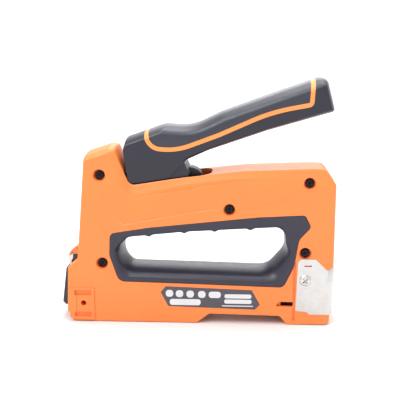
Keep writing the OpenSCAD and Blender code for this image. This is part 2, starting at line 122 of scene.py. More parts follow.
def outline(corners, n=8):
    """Rounded outline with n steps at every corner, as an (m, 2) array."""
    pts, count = [], len(corners)
    for i in range(count):
        a, b, c = (np.array(corners[(i + k) % count][:2], float) for k in (-1, 0, 1))
        u, w = (b - a) / np.linalg.norm(b - a), (c - b) / np.linalg.norm(c - b)
        t = math.atan2(u[0] * w[1] - u[1] * w[0], float(u @ w))
        r = max(corners[i][2], 0.02)
        if abs(t) < 1e-3:
            t = 1e-3
        start = b - u * r * math.tan(abs(t) / 2)
        centre = start + math.copysign(r, t) * np.array([-u[1], u[0]])
        arm = start - centre
        for k in range(n + 1):
            q = t * k / n
            pts.append(centre + np.array([arm[0] * math.cos(q) - arm[1] * math.sin(q),
                                          arm[0] * math.sin(q) + arm[1] * math.cos(q)]))
    return np.array(pts)


def ring(points, y):
    """A side-view outline placed at y, as an (m, 3) array in mm."""
    ys = np.full(len(points), float(y)) if np.isscalar(y) else np.asarray(y, float)
    return np.column_stack([points[:, 0], ys, points[:, 1]])


def soften(rings, width):
    """Replaces each inner ring by two, so that its crease becomes a narrow bevel."""
    out = [rings[0]]
    for a, b, c in zip(rings, rings[1:], rings[2:]):
        for other in (a, c):
            step = other - b
            length = np.linalg.norm(step, axis=1, keepdims=True)
            out.append(b + step * np.minimum(0.3, width / np.maximum(length, 1e-6)))
    return out + [rings[-1]]


def make(name, build):
    """A new object whose mesh build(bm) fills in mm; welded, turned outwards and in metres."""
    bm = bmesh.new()
    build(bm)
    bmesh.ops.remove_doubles(bm, verts=bm.verts, dist=0.0008)
    bmesh.ops.dissolve_degenerate(bm, edges=bm.edges, dist=0.0005)
    bmesh.ops.recalc_face_normals(bm, faces=bm.faces)
    bmesh.ops.scale(bm, vec=(MM, MM, MM), verts=bm.verts)
    mesh = bpy.data.meshes.new(name)
    bm.to_mesh(mesh)
    bm.free()
    obj = bpy.data.objects.new(name, mesh)
    bpy.context.scene.collection.objects.link(obj)
    return obj


def add_loft(bm, rings, closed=False):
    """Quads between rings of equal length, with the ends capped or joined to each other."""
    rows = [[bm.verts.new(p) for p in r] for r in rings]
    m = len(rows[0])
    pairs = list(zip(rows, rows[1:])) + ([(rows[-1], rows[0])] if closed else [])
    for a, b in pairs:
        for i in range(m):
            j = (i + 1) % m
            bm.faces.new((a[i], a[j], b[j], b[i]))
    if not closed:
        bm.faces.new(list(reversed(rows[0])))
        bm.faces.new(rows[-1])


def loft(name, rings, closed=False):
    return make(name, lambda bm: add_loft(bm, rings, closed))


def slab(name, corners, y0, y1, n=8):
    pts = outline(corners, n)
    return loft(name, [ring(pts, y0), ring(pts, y1)])


def flared(name, corners, y_in, y_face, lip, n=8):
    """A cutter along Y whose mouth at y_face opens out by lip, which rounds the cut's edge."""
    s = math.copysign(1, y_face)
    rows = [(y_in, 0), (y_face - s * lip, 0), (y_face - s * lip * 0.3, -0.3 * lip),
            (y_face, -lip), (y_face + s * 0.6, -lip - 0.6)]
    return loft(name, [ring(outline(inset(corners, d), n), y) for y, d in rows])


def circle(x, z, r, count=40, phase=0.0):
    a = np.arange(count) * 2 * math.pi / count + phase
    return np.column_stack([x + r * np.cos(a), z + r * np.sin(a)])


def turned(name, x, z, profile, count=40):
    """A solid of revolution about an axis along Y: profile holds (radius, y) pairs."""
    return loft(name, [ring(circle(x, z, max(r, 0.01), count), y) for r, y in profile])


def box_piece(name, lo, hi):
    x0, x1, z0, z1 = lo[0], hi[0], lo[2], hi[2]
    pts = np.array([(x0, z0), (x1, z0), (x1, z1), (x0, z1)], float)
    return loft(name, [ring(pts, lo[1]), ring(pts, hi[1])])


def mirror_y(obj, name):
    copy = obj.copy()
    copy.data = obj.data.copy()
    copy.name = name
    copy.data.transform(Matrix.Scale(-1, 4, (0, 1, 0)))
    copy.data.flip_normals()
    bpy.context.scene.collection.objects.link(copy)
    return copy


def node_copy(node, name):
    """A welded copy of a CAD node, to be worked on as a new piece."""
    bm = bmesh.new()
    bm.from_mesh(NODES[node].data)
    bmesh.ops.remove_doubles(bm, verts=bm.verts, dist=1e-6)
    mesh = bpy.data.meshes.new(name)
    bm.to_mesh(mesh)
    bm.free()
    obj = bpy.data.objects.new(name, mesh)
    bpy.context.scene.collection.objects.link(obj)
    return obj


def apply_modifiers(obj):
    dg = bpy.context.evaluated_depsgraph_get()
    mesh = bpy.data.meshes.new_from_object(obj.evaluated_get(dg))
    obj.modifiers.clear()
    old, obj.data = obj.data, mesh
    bpy.data.meshes.remove(old)


def combine(obj, operation, *others, keep=False):
    for other in others:
        mod = obj.modifiers.new("cut", "BOOLEAN")
        mod.operation, mod.object, mod.solver = operation, other, "EXACT"
        apply_modifiers(obj)
        if not keep:
            bpy.data.objects.remove(other)
    return obj


def clean(obj, sharp=38):
    """Welds slivers, shades smooth, and keeps edges over the given angle sharp."""
    bm = bmesh.new()
    bm.from_mesh(obj.data)
    bmesh.ops.remove_doubles(bm, verts=bm.verts, dist=2e-6)
    bmesh.ops.dissolve_degenerate(bm, edges=bm.edges, dist=1e-6)
    limit = math.radians(sharp)
    for f in bm.faces:
        f.smooth = True
    for e in bm.edges:
        e.smooth = not (len(e.link_faces) == 2 and e.calc_face_angle(0) > limit)
    bm.to_mesh(obj.data)
    bm.free()
    weighted = obj.modifiers.new("normals", "WEIGHTED_NORMAL")
    weighted.keep_sharp = True
    weighted.weight = 80
    return obj


# Outer form of the body: rings from the middle plane out to the side panels -------------
TOP = {"flat": [(96.2, 98.6, 3), (88.6, 109.6, 6), (31.5, 109.6, 590), (-44.2, 97.2, 5)],
       "crease_a": [(96.2, 97.6, 3), (90.8, 101.2, 5), (30.5, 107.9, 325), (-42.9, 90.4, 3)],
       "crease_b": [(96.2, 95.2, 3), (93.4, 98.4, 4), (24.7, 103.2, 380), (-41.2, 87.1, 4)]}
SIDE_Y = 17.97  # face of the side panels
SKIN = 0.06  # how far the visual body stays inside the CAD body


def body_ring(y, top, rest_in, front_in, top_drop=0.0, tower_in=SKIN, crown=0.0):
    """One ring: the top comes from the table, and the other edges are set in by the given depths.
    The tower's top falls by the crown."""
    upper = [(x, z - top_drop, r) for x, z, r in TOP[top]]
    tower = [(x - 0.25 * crown if x > -70 else x, z - crown, r) for x, z, r in TOWER]
    corners = BASE + upper + tower + REAR
    n = len(corners)
    first_top = len(BASE)
    dists = [rest_in] * n
    for k in range(first_top, first_top + 4):
        dists[k] = SKIN
    dists[first_top + 3] = tower_in
    for k in (4, 5, 6):
        dists[k] = rest_in + front_in
    return ring(outline(inset(corners, dists), 7), y)


# Creases on the side panels: points, depth at each, and the way the recess fades out
LEDGES = [([(-58.6, 78.4), (-49.2, 70), (3.5, 80), (15.7, 81.7), (18.2, 82.0)],
           (0.1, 0.4, 0.45, 0.45, 0.1), (-1.5, 9)),
          ([(28.0, 82.8), (31, 83.1), (79.7, 84.6), (83, 84.7)], (0.1, 0.45, 0.45, 0.1), (0.3, 9)),
          ([(-68.8, 73.6), (-61.1, 66.8), (-57.5, 67.5)], (0.1, 0.4, 0.1), (-1, 7)),
          ([(75.8, 62.3), (77.5, 60.2), (84.6, 51.2), (85.9, 49.3)], (0.1, 0.4, 0.4, 0.1),
           (6, 4.5))]


def half_body_rings():
    rows = [body_ring(2, "flat", SKIN, 0), body_ring(9, "flat", SKIN, 0, 0, SKIN, 0.5),
            body_ring(14.4, "flat", SKIN, 0, 0, SKIN, 1.5),
            body_ring(15.1, "flat", SKIN, 0.15, 0.15, SKIN, 1.75),
            body_ring(15.5, "flat", SKIN, 0.3, 0.7, SKIN, 1.95),
            body_ring(15.72, "flat", SKIN, 0.45, 1.5, SKIN, 2.1),
            body_ring(17.15, "crease_a", 0.14, 1.3, 0, 1.5, 3.0),
            body_ring(17.82, "crease_b", 0.42, 2.0, 0, 2.6, 4.0),
            body_ring(SIDE_Y, "crease_b", 0.85, 2.4, 0.7, 3.0, 4.8)]
    return rows


def flip(r):
    return r * np.array([1, -1, 1])


def body_form():
    rows = half_body_rings()
    rows = [flip(r) for r in reversed(rows)] + rows
    form = loft("body_form", soften(rows, 0.16))
    for k, (points, depths, rise) in enumerate(LEDGES):
        for side in (-1, 1):
            combine(form, "DIFFERENCE", ledge(f"ledge_{k}", points, depths, rise, side))
    for side in (-1, 1):
        combine(form, "DIFFERENCE",
                flared("loop_lip", inset(LOOP_OUTER, -0.12), side * 17.3, side * 18.1, 0.35))
    bore = [(3.7, -16.3), (4.05, -16.45), (4.2, -16.8), (4.25, -17.6), (4.45, -17.96), (4.8, -18.4)]
    for x, z in SCREWS:
        combine(form, "DIFFERENCE", turned("bore", x, z, bore))
    pad_corners = [(-87.5, 2.1, 2), (-70, 1.3, 1), (-70, 24.6, 1), (-88.3, 24.3, 2)]
    pad_rows = [(y, d) for y, d in ((0, 0), (18.5, 0), (18.8, 0.1), (18.94, 0.35))]
    pad_rows = [(-y, d) for y, d in reversed(pad_rows)] + pad_rows[1:]
    pad = loft("pad", [ring(outline(inset(pad_corners, d)), y) for y, d in pad_rows])
    hood = box_piece("hood", (-92, -9.1, 38.6), (-80.75, 9.1, 50.5))
    return combine(form, "UNION", pad, hood)


LEDGE_SLOPE = 0.45  # width of the slope below the line


def ledge(name, points, depths, rise, side):
    """A cutter that leaves a small sloping ledge along the points. It fades out over the rise."""
    low = np.array(points, float)
    top = low + np.array(rise, float)
    down = -np.array(rise, float) / np.linalg.norm(rise) * LEDGE_SLOPE
    n = len(low)
    deep = SIDE_Y - np.array(depths, float)

    def at(pts, ys):
        return [(x, side * y, z) for (x, z), y in zip(pts, np.broadcast_to(ys, (n,)))]

    rows = [at(low + down, SIDE_Y + 0.02), at(low, deep), at(top, SIDE_Y + 0.25),
            at(top, SIDE_Y + 3), at(low + down, SIDE_Y + 3)]
    return make(name, lambda bm: add_loft(bm, [[rows[r][i] for r in range(5)] for i in range(n)]))


def shell(name, node, form):
    """A half of the body: the CAD shell, with its ribs and openings, cut to the outer form."""
    piece = node_copy(node, name)
    combine(piece, "INTERSECT", form, keep=True)
    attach(piece, "housing")
    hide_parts(node)
    return clean(piece)


# Grip insert: a lining crowned across the tool, with a rim on each side -----------------
def resample(points, anchors, counts):
    """Points at even steps between anchors, which are the points nearest to the given places."""
    closed = np.vstack([points, points[:1]])
    idx = [int(np.argmin(np.linalg.norm(points - np.array(a), axis=1))) for a in anchors]
    out = []
    for k, n in enumerate(counts):
        i, j = idx[k], idx[(k + 1) % len(idx)]
        part = closed[i:j + 1] if j > i else np.vstack([points[i:], points[:j + 1]])
        s = np.concatenate([[0], np.cumsum(np.linalg.norm(np.diff(part, axis=0), axis=1))])
        at = np.linspace(0, s[-1], n, endpoint=False)
        out.append(np.column_stack([np.interp(at, s, part[:, 0]), np.interp(at, s, part[:, 1])]))
    return np.vstack(out)


RIDGES_X, RIDGE_DEPTH, RIDGE_HALF_W = (-31, -7, 13.5, 37.5), 1.25, 1.6


def insert_loops():
    outer_at = [(-57.5, 63.8), (77.8, 74), (64, 29), (-55, 30.5)]
    inner_at = [(-48, 60.5), (61.6, 68), (56, 42), (-47.5, 41)]
    counts = (96, 48, 96, 40)
    # anticlockwise outlines run left along the top, so the anchors are visited backwards
    outer = resample(outline(LOOP_OUTER, 8)[::-1], outer_at, counts)
    inner = resample(outline(LOOP_INNER, 12)[::-1], inner_at, counts)
    top = slice(0, counts[0])
    for x in RIDGES_X:
        dx = (inner[top, 0] - x) / RIDGE_HALF_W
        inner[top, 1] -= RIDGE_DEPTH * np.exp(-dx * dx) * (inner[top, 1] > 55)
    return outer, inner


def insert_half(name, node, side):
    outer, inner = insert_loops()
    width = np.linalg.norm(inner - outer, axis=1, keepdims=True)
    # share of the way in, plus mm, and distance from the middle plane
    profile = [(0, 0.05, 0), (0, 0.05, 17.7), (0, 0.12, 17.98), (0, 0.35, 18.14), (0, 0.7, 18.2),
               (0.18, 0.3, 18.2), (0.27, 0.3, 18.12), (0.36, 0, 17.8), (0.46, 0, 17.15),
               (0.56, 0, 16.2), (0.66, 0, 14.9), (0.75, 0, 13.2), (0.83, 0, 11.1), (0.9, 0, 8.6),
               (0.955, 0, 5.8), (0.99, 0, 2.8), (1, 0, 0), (1, -3.2, 0), (1, -3.2, 11.6),
               (0, 1.6, 11.6), (0, 1.6, 0)]
    # the upper rail has a flat face and a tighter edge
    upper = {5: 0.3, 6: 0.55, 7: 0.76, 8: 0.87, 9: 0.93, 10: 0.965, 11: 0.985, 12: 0.995,
             13: 1, 14: 1, 15: 1}
    filled = {6: 0.6, 7: 0.7, 8: 0.5, 9: 0.3, 10: 0.2}
    flat = np.clip((inner[:, 1:] - 51) / 7, 0, 1) * np.clip((inner[:, :1] + 55) / 6, 0, 1)
    flat = flat * flat * (3 - 2 * flat)
    rows = []
    for k, (share, mm, y) in enumerate(profile):
        share = share + (upper.get(k, share) - share) * flat
        at = outer + (inner - outer) * (share + mm / width)
        ys = y + (18.15 - y) * flat[:, 0] * filled.get(k, 0)
        rows.append(ring(at, side * ys))
    piece = loft(name, rows, closed=True)
    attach(piece, "housing")
    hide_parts(node)
    return clean(piece, 50)


# Handle: one crowned form, cut into core, stripe and soft grip --------------------------
HANDLE_HALF_W, BLOCK_HALF_W = 14.6, 12.8
# how far each edge of HANDLE falls in at the handle's side, and the curve it follows
SIDE_IN = [1.2, 1.2, 1.2, 1.2, 1.2, 1.2, 3.0, 3.6, 3.6, 3.4, 5.6, 7.6, 8.0, 8.0, 7.6, 5.4, 1.6,
           0.9, 0.7]
ROUNDNESS = 2.2
BLOCK_SIDE = [(-60, 60, 0), (20, 60, 0), (20, 120, 0), (-5.2, 113.2, 0), (-10.4, 110.6, 2),
              (-18.6, 102.4, 1), (-47.4, 97.7, 5), (-49.6, 106, 0), (-60, 106, 0)]
STRIPE_WIDTH = 3


def handle_form(name, skin=0.0):
    rows = []
    for y in (0, 3, 5.5, 7.6, 9.4, 10.9, 12.1, 13.05, 13.75, 14.25, 14.5, 14.6):
        share = 1 - (1 - (y / HANDLE_HALF_W) ** ROUNDNESS) ** (1 / ROUNDNESS)
        rows.append(ring(outline(inset(HANDLE, [skin + share * d for d in SIDE_IN]), 7),
                         max(0, y - skin * (y > 12))))
    rows = [flip(r) for r in reversed(rows[1:])] + rows
    return loft(name, rows)


def handle_pieces():
    body = handle_form("handle_body_look")
    combine(body, "DIFFERENCE", slab("cut", STRIPE, -PAST, PAST),
            slab("room", FRAME_ROOM, -5.3, 5.3),
            turned("pin_hole", *HANDLE_AXIS, [(3.2, -PAST), (3.2, PAST)]),
            turned("spring_room", *HANDLE_AXIS, [(6.4, -10), (6.4, 10)]),
            slab("side_cut", BLOCK_SIDE, -PAST, -BLOCK_HALF_W),
            slab("side_cut", BLOCK_SIDE, BLOCK_HALF_W, PAST))
    stripe = handle_form("grip_stripe_look", 0.16)
    band = slab("band", STRIPE, -PAST, PAST)
    within = inset(STRIPE, STRIPE_WIDTH)
    combine(band, "DIFFERENCE", slab("band_in", within, -PAST - 1, PAST + 1))
    combine(stripe, "INTERSECT", band)
    grip = handle_form("soft_grip_look")
    combine(grip, "INTERSECT", slab("grip_cut", within, -PAST, PAST))
    for piece, node, slot in ((body, "handle_body", "handle_plastic"),
                              (stripe, "grip_stripe", "stripe_orange"),
                              (grip, "soft_grip", "grip_rubber")):
        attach(piece, "handle")
        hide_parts(node)
        clean(piece, 40)
    return body, stripe, grip


# Screws ---------------------------------------------------------------------------------
def lobes(x, z, r_out, r_in, phase, count=6, steps=60):
    """The outline of a six-lobed recess."""
    a = np.arange(steps) * 2 * math.pi / steps
    r = (r_out + r_in) / 2 + (r_out - r_in) / 2 * np.cos(count * a + phase)
    return np.column_stack([x + r * np.cos(a), z + r * np.sin(a)])


def housing_screws():
    y0 = SCREW_HEAD_Y

    def build(bm):
        for k, (x, z) in enumerate(SCREWS):
            profile = [(0.02, y0 + 2.4), (2.0, y0 + 2.38), (2.9, y0 + 2.2), (3.0, y0 + 1.9),
                       (3.0, y0 + 0.3), (2.7, y0 + 0.06), (2.2, y0)]
            rows = [ring(circle(x, z, r, 60), y) for r, y in profile]
            recess = [(1.9, 1.4, 0), (1.8, 1.3, 0.12), (1.75, 1.25, 1.3), (0.02, 0.02, 1.5)]
            rows += [ring(lobes(x, z, ro, ri, 0.5 * k), y0 + dy) for ro, ri, dy in recess]
            add_loft(bm, rows)
            add_loft(bm, [ring(circle(x, z, r, 32), y) for r, y in
                          ((1.5, y0 + 2.2), (1.5, 12.4), (1.0, 12.9))])
    piece = make("housing_screws_look", build)
    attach(piece, "housing")
    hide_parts("housing_screws")
    return clean(piece, 30)


def plate_screws():
    """Domed heads with a cross recess, cut by two tapered bars."""
    x, z = PLATE_SCREW
    profile = [(2.0, -16.5), (2.0, -18.5), (4.0, -18.62), (4.0, -18.95), (3.9, -19.3),
               (3.6, -19.62), (3.1, -19.9), (2.4, -20.08), (1.4, -20.17), (0.02, -20.18)]
    one = turned("nose_plate_screw_left", x, z, profile, 48)
    centre, half_length, half_width = np.array([x, z]), 2.1, 0.42
    for angle in (40, 130):
        a = math.radians(angle)
        u, w = np.array([math.cos(a), math.sin(a)]), np.array([-math.sin(a), math.cos(a)])
        pts = np.array([centre + u * sx * half_length + w * sz * half_width
                        for sx, sz in ((-1, -1), (1, -1), (1, 1), (-1, 1))])
        small = centre + (pts - centre) * 0.75
        combine(one, "DIFFERENCE",
                loft("cross", [ring(pts, -20.6), ring(pts, -19.7), ring(small, -17.7)]))
    two = mirror_y(one, "nose_plate_screw_right")
    for piece in (one, two):
        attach(piece, "housing")
        clean(piece, 30)
    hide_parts("nose_plate_screws")
    return one, two


# Materials ------------------------------------------------------------------------------
def new_material(name):
    m = bpy.data.materials.new(name)
    m.use_nodes = True
    return m, m.node_tree.nodes, m.node_tree.links, m.node_tree.nodes["Principled BSDF"]


def add_noise(nodes, links, vector, size_mm, detail=3.0, rough=0.55, stretch=None):
    """Noise whose features are about size_mm across; stretch scales the coordinates first."""
    if stretch:
        mapping = nodes.new("ShaderNodeMapping")
        mapping.inputs["Scale"].default_value = stretch
        links.new(vector, mapping.inputs["Vector"])
        vector = mapping.outputs["Vector"]
    noise = nodes.new("ShaderNodeTexNoise")
    noise.inputs["Scale"].default_value = 1 / (size_mm * MM)
    noise.inputs["Detail"].default_value = detail
    noise.inputs["Roughness"].default_value = rough
    links.new(vector, noise.inputs["Vector"])
    return noise.outputs["Fac"]


def ramp(nodes, links, value, lo, hi, a=0.0, b=1.0):
    node = nodes.new("ShaderNodeMapRange")
    node.inputs["From Min"].default_value, node.inputs["From Max"].default_value = lo, hi
    node.inputs["To Min"].default_value, node.inputs["To Max"].default_value = a, b
    links.new(value, node.inputs["Value"])
    return node.outputs["Result"]


def mix_colour(nodes, links, share, a, b):
    node = nodes.new("ShaderNodeMix")
    node.data_type = "RGBA"
    links.new(share, node.inputs["Factor"])
    for socket, value in ((node.inputs["A"], a), (node.inputs["B"], b)):
        if isinstance(value, bpy.types.NodeSocket):
            links.new(value, socket)
        else:
            socket.default_value = (*value, 1)
    return node.outputs["Result"]


def edge_mask(nodes, links, radius_mm, lo, hi):
    """1 on edges, where abrasion and the shells' painted highlight go: where the surface's normal
    differs from one rounded over radius_mm.
    """
    bevel = nodes.new("ShaderNodeBevel")
    bevel.samples = 4
    bevel.inputs["Radius"].default_value = radius_mm * MM
    geometry = nodes.new("ShaderNodeNewGeometry")
    dot = nodes.new("ShaderNodeVectorMath")
    dot.operation = "DOT_PRODUCT"
    links.new(bevel.outputs["Normal"], dot.inputs[0])
    links.new(geometry.outputs["Normal"], dot.inputs[1])
    return ramp(nodes, links, dot.outputs["Value"], hi, lo)


def times(nodes, links, a, b):
    node = nodes.new("ShaderNodeMath")
    node.operation = "MULTIPLY"
    links.new(a, node.inputs[0])
    if isinstance(b, bpy.types.NodeSocket):
        links.new(b, node.inputs[1])
    else:
        node.inputs[1].default_value = b
    return node.outputs["Value"]


def moulded(name, colour, rough, grain_mm, grain, vary, edge_colour, edge_amount, coat=0.0, specular=0.5,
            edge=(0.6, 0.98), sheen=0.0):
    """Moulded plastic or rubber: fine pebbled grain, cloudy colour, and edges lightened in patches,
    as abrasion and, on the orange shells, as a painted highlight.
    """
    m, nodes, links, shader = new_material(name)
    here = nodes.new("ShaderNodeTexCoord").outputs["Object"]
    dark = tuple(c * (1 - vary) for c in colour)
    light = tuple(min(1, c * (1 + vary)) for c in colour)
    cloud = ramp(nodes, links, add_noise(nodes, links, here, 22, 4), 0.3, 0.7)
    base = mix_colour(nodes, links, cloud, dark, light)
    grit = ramp(nodes, links, add_noise(nodes, links, here, 2.2, 5, 0.7), 0.62, 0.8)
    base = mix_colour(nodes, links, times(nodes, links, grit, 0.25), base, dark)
    patches = ramp(nodes, links, add_noise(nodes, links, here, 5, 5, 0.7), 0.45, 0.7)
    # edges lightened in patches: abrasion on most materials, and a painted highlight on the orange
    # shells
    edge_patches = times(nodes, links, edge_mask(nodes, links, 0.5, *edge), patches)
    edges = times(nodes, links, edge_patches, edge_amount)
    base = mix_colour(nodes, links, edges, base, edge_colour)
    links.new(base, shader.inputs["Base Color"])
    streak = add_noise(nodes, links, here, 1.2, 4, 0.6, (0.25, 1, 1.6))
    links.new(ramp(nodes, links, streak, 0.3, 0.7, rough - 0.07, rough + 0.08),
              shader.inputs["Roughness"])
    pebbles = nodes.new("ShaderNodeTexVoronoi")
    pebbles.inputs["Scale"].default_value = 1 / (grain_mm * MM)
    links.new(here, pebbles.inputs["Vector"])
    bump = nodes.new("ShaderNodeBump")
    bump.inputs["Strength"].default_value = grain
    bump.inputs["Distance"].default_value = 0.08 * MM
    links.new(pebbles.outputs["Distance"], bump.inputs["Height"])
    soft = nodes.new("ShaderNodeBump")
    soft.inputs["Strength"].default_value = 0.18
    soft.inputs["Distance"].default_value = 0.25 * MM
    links.new(add_noise(nodes, links, here, 9, 2), soft.inputs["Height"])
    links.new(bump.outputs["Normal"], soft.inputs["Normal"])
    links.new(soft.outputs["Normal"], shader.inputs["Normal"])
    shader.inputs["Specular IOR Level"].default_value = specular
    shader.inputs["Coat Weight"].default_value = coat
    shader.inputs["Coat Roughness"].default_value = 0.25
    shader.inputs["Sheen Weight"].default_value = sheen
    shader.inputs["Sheen Roughness"].default_value = 0.4
    shader.inputs["Sheen Tint"].default_value = (0.85, 0.87, 1.0, 1)
    return m


def metal(name, colour, rough, brush, vary=0.08, edge_colour=(0.9, 0.9, 0.9), edge_amount=0.4, tint=None):
    """Metal with drawn or brushed marks along brush, cloudy roughness and brighter rubbed edges."""
    m, nodes, links, shader = new_material(name)
    here = nodes.new("ShaderNodeTexCoord").outputs["Object"]
    lines = add_noise(nodes, links, here, 0.35, 4, 0.65, brush)
    cloud = add_noise(nodes, links, here, 7, 4)
    dark = tuple(c * (1 - 2 * vary) for c in (tint or colour))
    base = mix_colour(nodes, links, ramp(nodes, links, cloud, 0.35, 0.7), dark, colour)
    spots = ramp(nodes, links, add_noise(nodes, links, here, 1.1, 5, 0.7), 0.66, 0.8, 0, 0.35)
    base = mix_colour(nodes, links, spots, base, dark)
    edges = times(nodes, links, edge_mask(nodes, links, 0.25, 0.6, 0.98), edge_amount)
    base = mix_colour(nodes, links, edges, base, edge_colour)
    links.new(base, shader.inputs["Base Color"])
    shade = times(nodes, links, ramp(nodes, links, lines, 0.25, 0.75, 0.75, 1.25),
                  ramp(nodes, links, cloud, 0.3, 0.7, rough * 0.85, rough * 1.2))
    links.new(shade, shader.inputs["Roughness"])
    bump = nodes.new("ShaderNodeBump")
    bump.inputs["Strength"].default_value = 0.22
    bump.inputs["Distance"].default_value = 0.03 * MM
    links.new(lines, bump.inputs["Height"])
    links.new(bump.outputs["Normal"], shader.inputs["Normal"])
    shader.inputs["Metallic"].default_value = 1.0
    return m


def make_materials():
    along_x, along_z = (0.05, 1, 1), (1, 1, 0.05)
    return {
        # the shells' lighter edge colour and tight edge range paint a highlight along their creases
        # and edges
        "shell_orange": moulded("shell_orange", (0.9, 0.205, 0.042), 0.42, 0.55, 0.2, 0.03,
                                (1.0, 0.42, 0.18), 0.5, edge=(0.97, 0.997)),
        "grip_rubber": moulded("grip_rubber", (0.022, 0.024, 0.036), 0.38, 0.7, 0.4, 0.12,
                               (0.16, 0.16, 0.18), 0.5, sheen=0.31),
        "handle_plastic": moulded("handle_plastic", (0.011, 0.0105, 0.021), 0.36, 0.6, 0.3, 0.1,
                                  (0.15, 0.15, 0.17), 0.5, sheen=0.1),
        "insert_plastic": moulded("insert_plastic", (0.019, 0.018, 0.033), 0.36, 0.6, 0.3, 0.1,
                                  (0.15, 0.15, 0.17), 0.55, sheen=0.06),
        "stripe_orange": moulded("stripe_orange", (0.93, 0.27, 0.06), 0.45, 0.6, 0.25, 0.04,
                                 (1.0, 0.5, 0.25), 0.3),
        "bright_steel": metal("bright_steel", (0.65, 0.635, 0.62), 0.3, along_z, 0.05),
        "spring_steel": metal("spring_steel", (0.5, 0.5, 0.52), 0.34, along_x, 0.12),
        "dark_steel": metal("dark_steel", (0.07, 0.07, 0.078), 0.42, along_x, 0.15,
                            (0.4, 0.4, 0.42), 0.6),
        "black_oxide": metal("black_oxide", (0.022, 0.018, 0.02), 0.36, along_x, 0.15,
                             (0.5, 0.48, 0.48), 0.6),
        "black_plastic": moulded("black_plastic", (0.03, 0.031, 0.038), 0.5, 0.5, 0.3, 0.12,
                                 (0.14, 0.14, 0.15), 0.5),
        "bumper_rubber": moulded("bumper_rubber", (0.018, 0.018, 0.018), 0.78, 0.8, 0.5, 0.15,
                                 (0.06, 0.06, 0.06), 0.3, specular=0.3),
        "label_film": moulded("label_film", (0.05, 0.047, 0.06), 0.3, 1.5, 0.08, 0.05,
                              (0.3, 0.3, 0.3), 0.4, coat=0.3),
        "label_ink": moulded("label_ink", (0.62, 0.62, 0.64), 0.4, 1.5, 0.08, 0.06,
                             (0.5, 0.5, 0.5), 0.3),
        "staple_wire": metal("staple_wire", (0.72, 0.72, 0.73), 0.3, (1, 0.05, 1), 0.08),
    }


def dress(obj, material):
    obj.data.materials.clear()
    obj.data.materials.append(material)


# Small parts ----------------------------------------------------------------------------
def label_pieces(materials):
    """The label's film, and blank marks on it."""
    film = loft("side_label_look", [ring(outline(inset(LABEL, d), 6), y) for y, d in
                                    ((-17.9, 0), (-18.15, 0), (-18.2, 0.12))])
    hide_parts("side_label")

    def build(bm):
        # centre, half width and half height
        marks = [(x, 21.5 - 0.15 * k, 2.6, 2.5) for k, x in enumerate((-17.3, -10.3, -2.9, 5.2))]
        marks += [(14.2, 20.9, 4.2, 2.3), (-6.4, 15.3, 10.8, 2.2), (30.3, 20.0, 9.3, 1.5),
                  (30.3, 16.2, 9.5, 1.5), (30.0, 13.0, 10.8, 0.35)]
        for x, z, hw, hh in marks:
            r = min(hw, hh) * 0.85
            pts = outline([(x - hw, z - hh, r), (x + hw, z - hh, r), (x + hw, z + hh, r),
                           (x - hw, z + hh, r)], 6)
            add_loft(bm, [ring(pts, -18.18), ring(pts, -18.23)])
    ink = make("label_marks", build)
    for piece in (film, ink):
        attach(piece, "housing")
        clean(piece, 40)
    dress(film, materials["label_film"])
    dress(ink, materials["label_ink"])


def rear_latch():
    """The latch's tab, with an ear on each side and finger ribs down its back."""
    rows = [(0, 0), (8.0, 0), (8.35, 0.08), (8.55, 0.3)]
    rows = [(-y, d) for y, d in reversed(rows[1:])] + rows
    plate = loft("rear_latch_look", [ring(outline(inset(LATCH, d), 6), y) for y, d in rows])
    for y0 in (-8.55, 7.15):
        ear = slab("ear", LATCH_EAR, y0, y0 + 1.4)
        combine(ear, "DIFFERENCE", turned("hole", *LATCH_AXIS, [(1.25, -PAST), (1.25, PAST)]))
        combine(plate, "UNION", ear)
    for z in (13, 15.5, 18, 20.5, 23):
        x = -93.75 + (z - 13) * 0.118
        rib = turned("rib", x, z, [(0.5, -6.6), (0.62, -6.2), (0.62, 6.2), (0.5, 6.6)], 16)
        combine(plate, "UNION", rib)
    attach(plate, "latch")
    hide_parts("rear_latch")
    return clean(plate, 35)


def latch_strike():
    """The strike with its ears, the dark backing behind it and the cheeks of its cover."""
    strike = node_copy("latch_strike", "latch_strike_look")
    backing, cheeks = [], []
    for y0, y1 in ((-8.5, -7.9), (7.9, 8.5)):
        combine(strike, "UNION", slab("ear", STRIKE_EAR, y0, y1))
        backing.append(slab("strike_backing", STRIKE_BACKING, y0 * 0.98, y1 * 0.98))
        cheeks.append(slab("hood_cheek", HOOD_CHEEK, y0 * 1.04, y1 * 1.04))
    combine(backing[0], "UNION", backing[1])
    combine(cheeks[0], "UNION", cheeks[1])
    out = ((strike, "bright_steel"), (backing[0], "black_plastic"), (cheeks[0], "shell_orange"))
    for piece, slot in out:
        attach(piece, "housing")
        clean(piece, 35)
    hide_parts("latch_strike")
    return out


def dark_frame():
    arm = node_copy("handle_frame", "handle_frame_look")
    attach(arm, "handle")
    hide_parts("handle_frame")
    return clean(arm, 35)


def springs():
    """Copies of the two coil springs that a joint shortens, each attached to its body; they are not
    made to shorten.
    """
    low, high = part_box("pusher_spring")
    reach = high[0] - low[0]
    height = MAIN_SPRING_TOP - MAIN_SPRING_FOOT
    for node, body, joint, axis, anchor, keep in (
            ("main_spring", "housing", "striker_slide", (0, 0, 1),
             (MAIN_SPRING_X * MM, 0, MAIN_SPRING_TOP * MM), (height - STRIKER_TRAVEL) / height),
            ("pusher_spring", "magazine", "pusher_slide", (1, 0, 0), (low[0], 0, 0),
             (reach - PUSHER_TRAVEL * MM) / reach)):
        spring = node_copy(node, node + "_look")
        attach(spring, body)
        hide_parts(node)
        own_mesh(spring)
        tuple(axis)
        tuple(anchor)
        yield spring


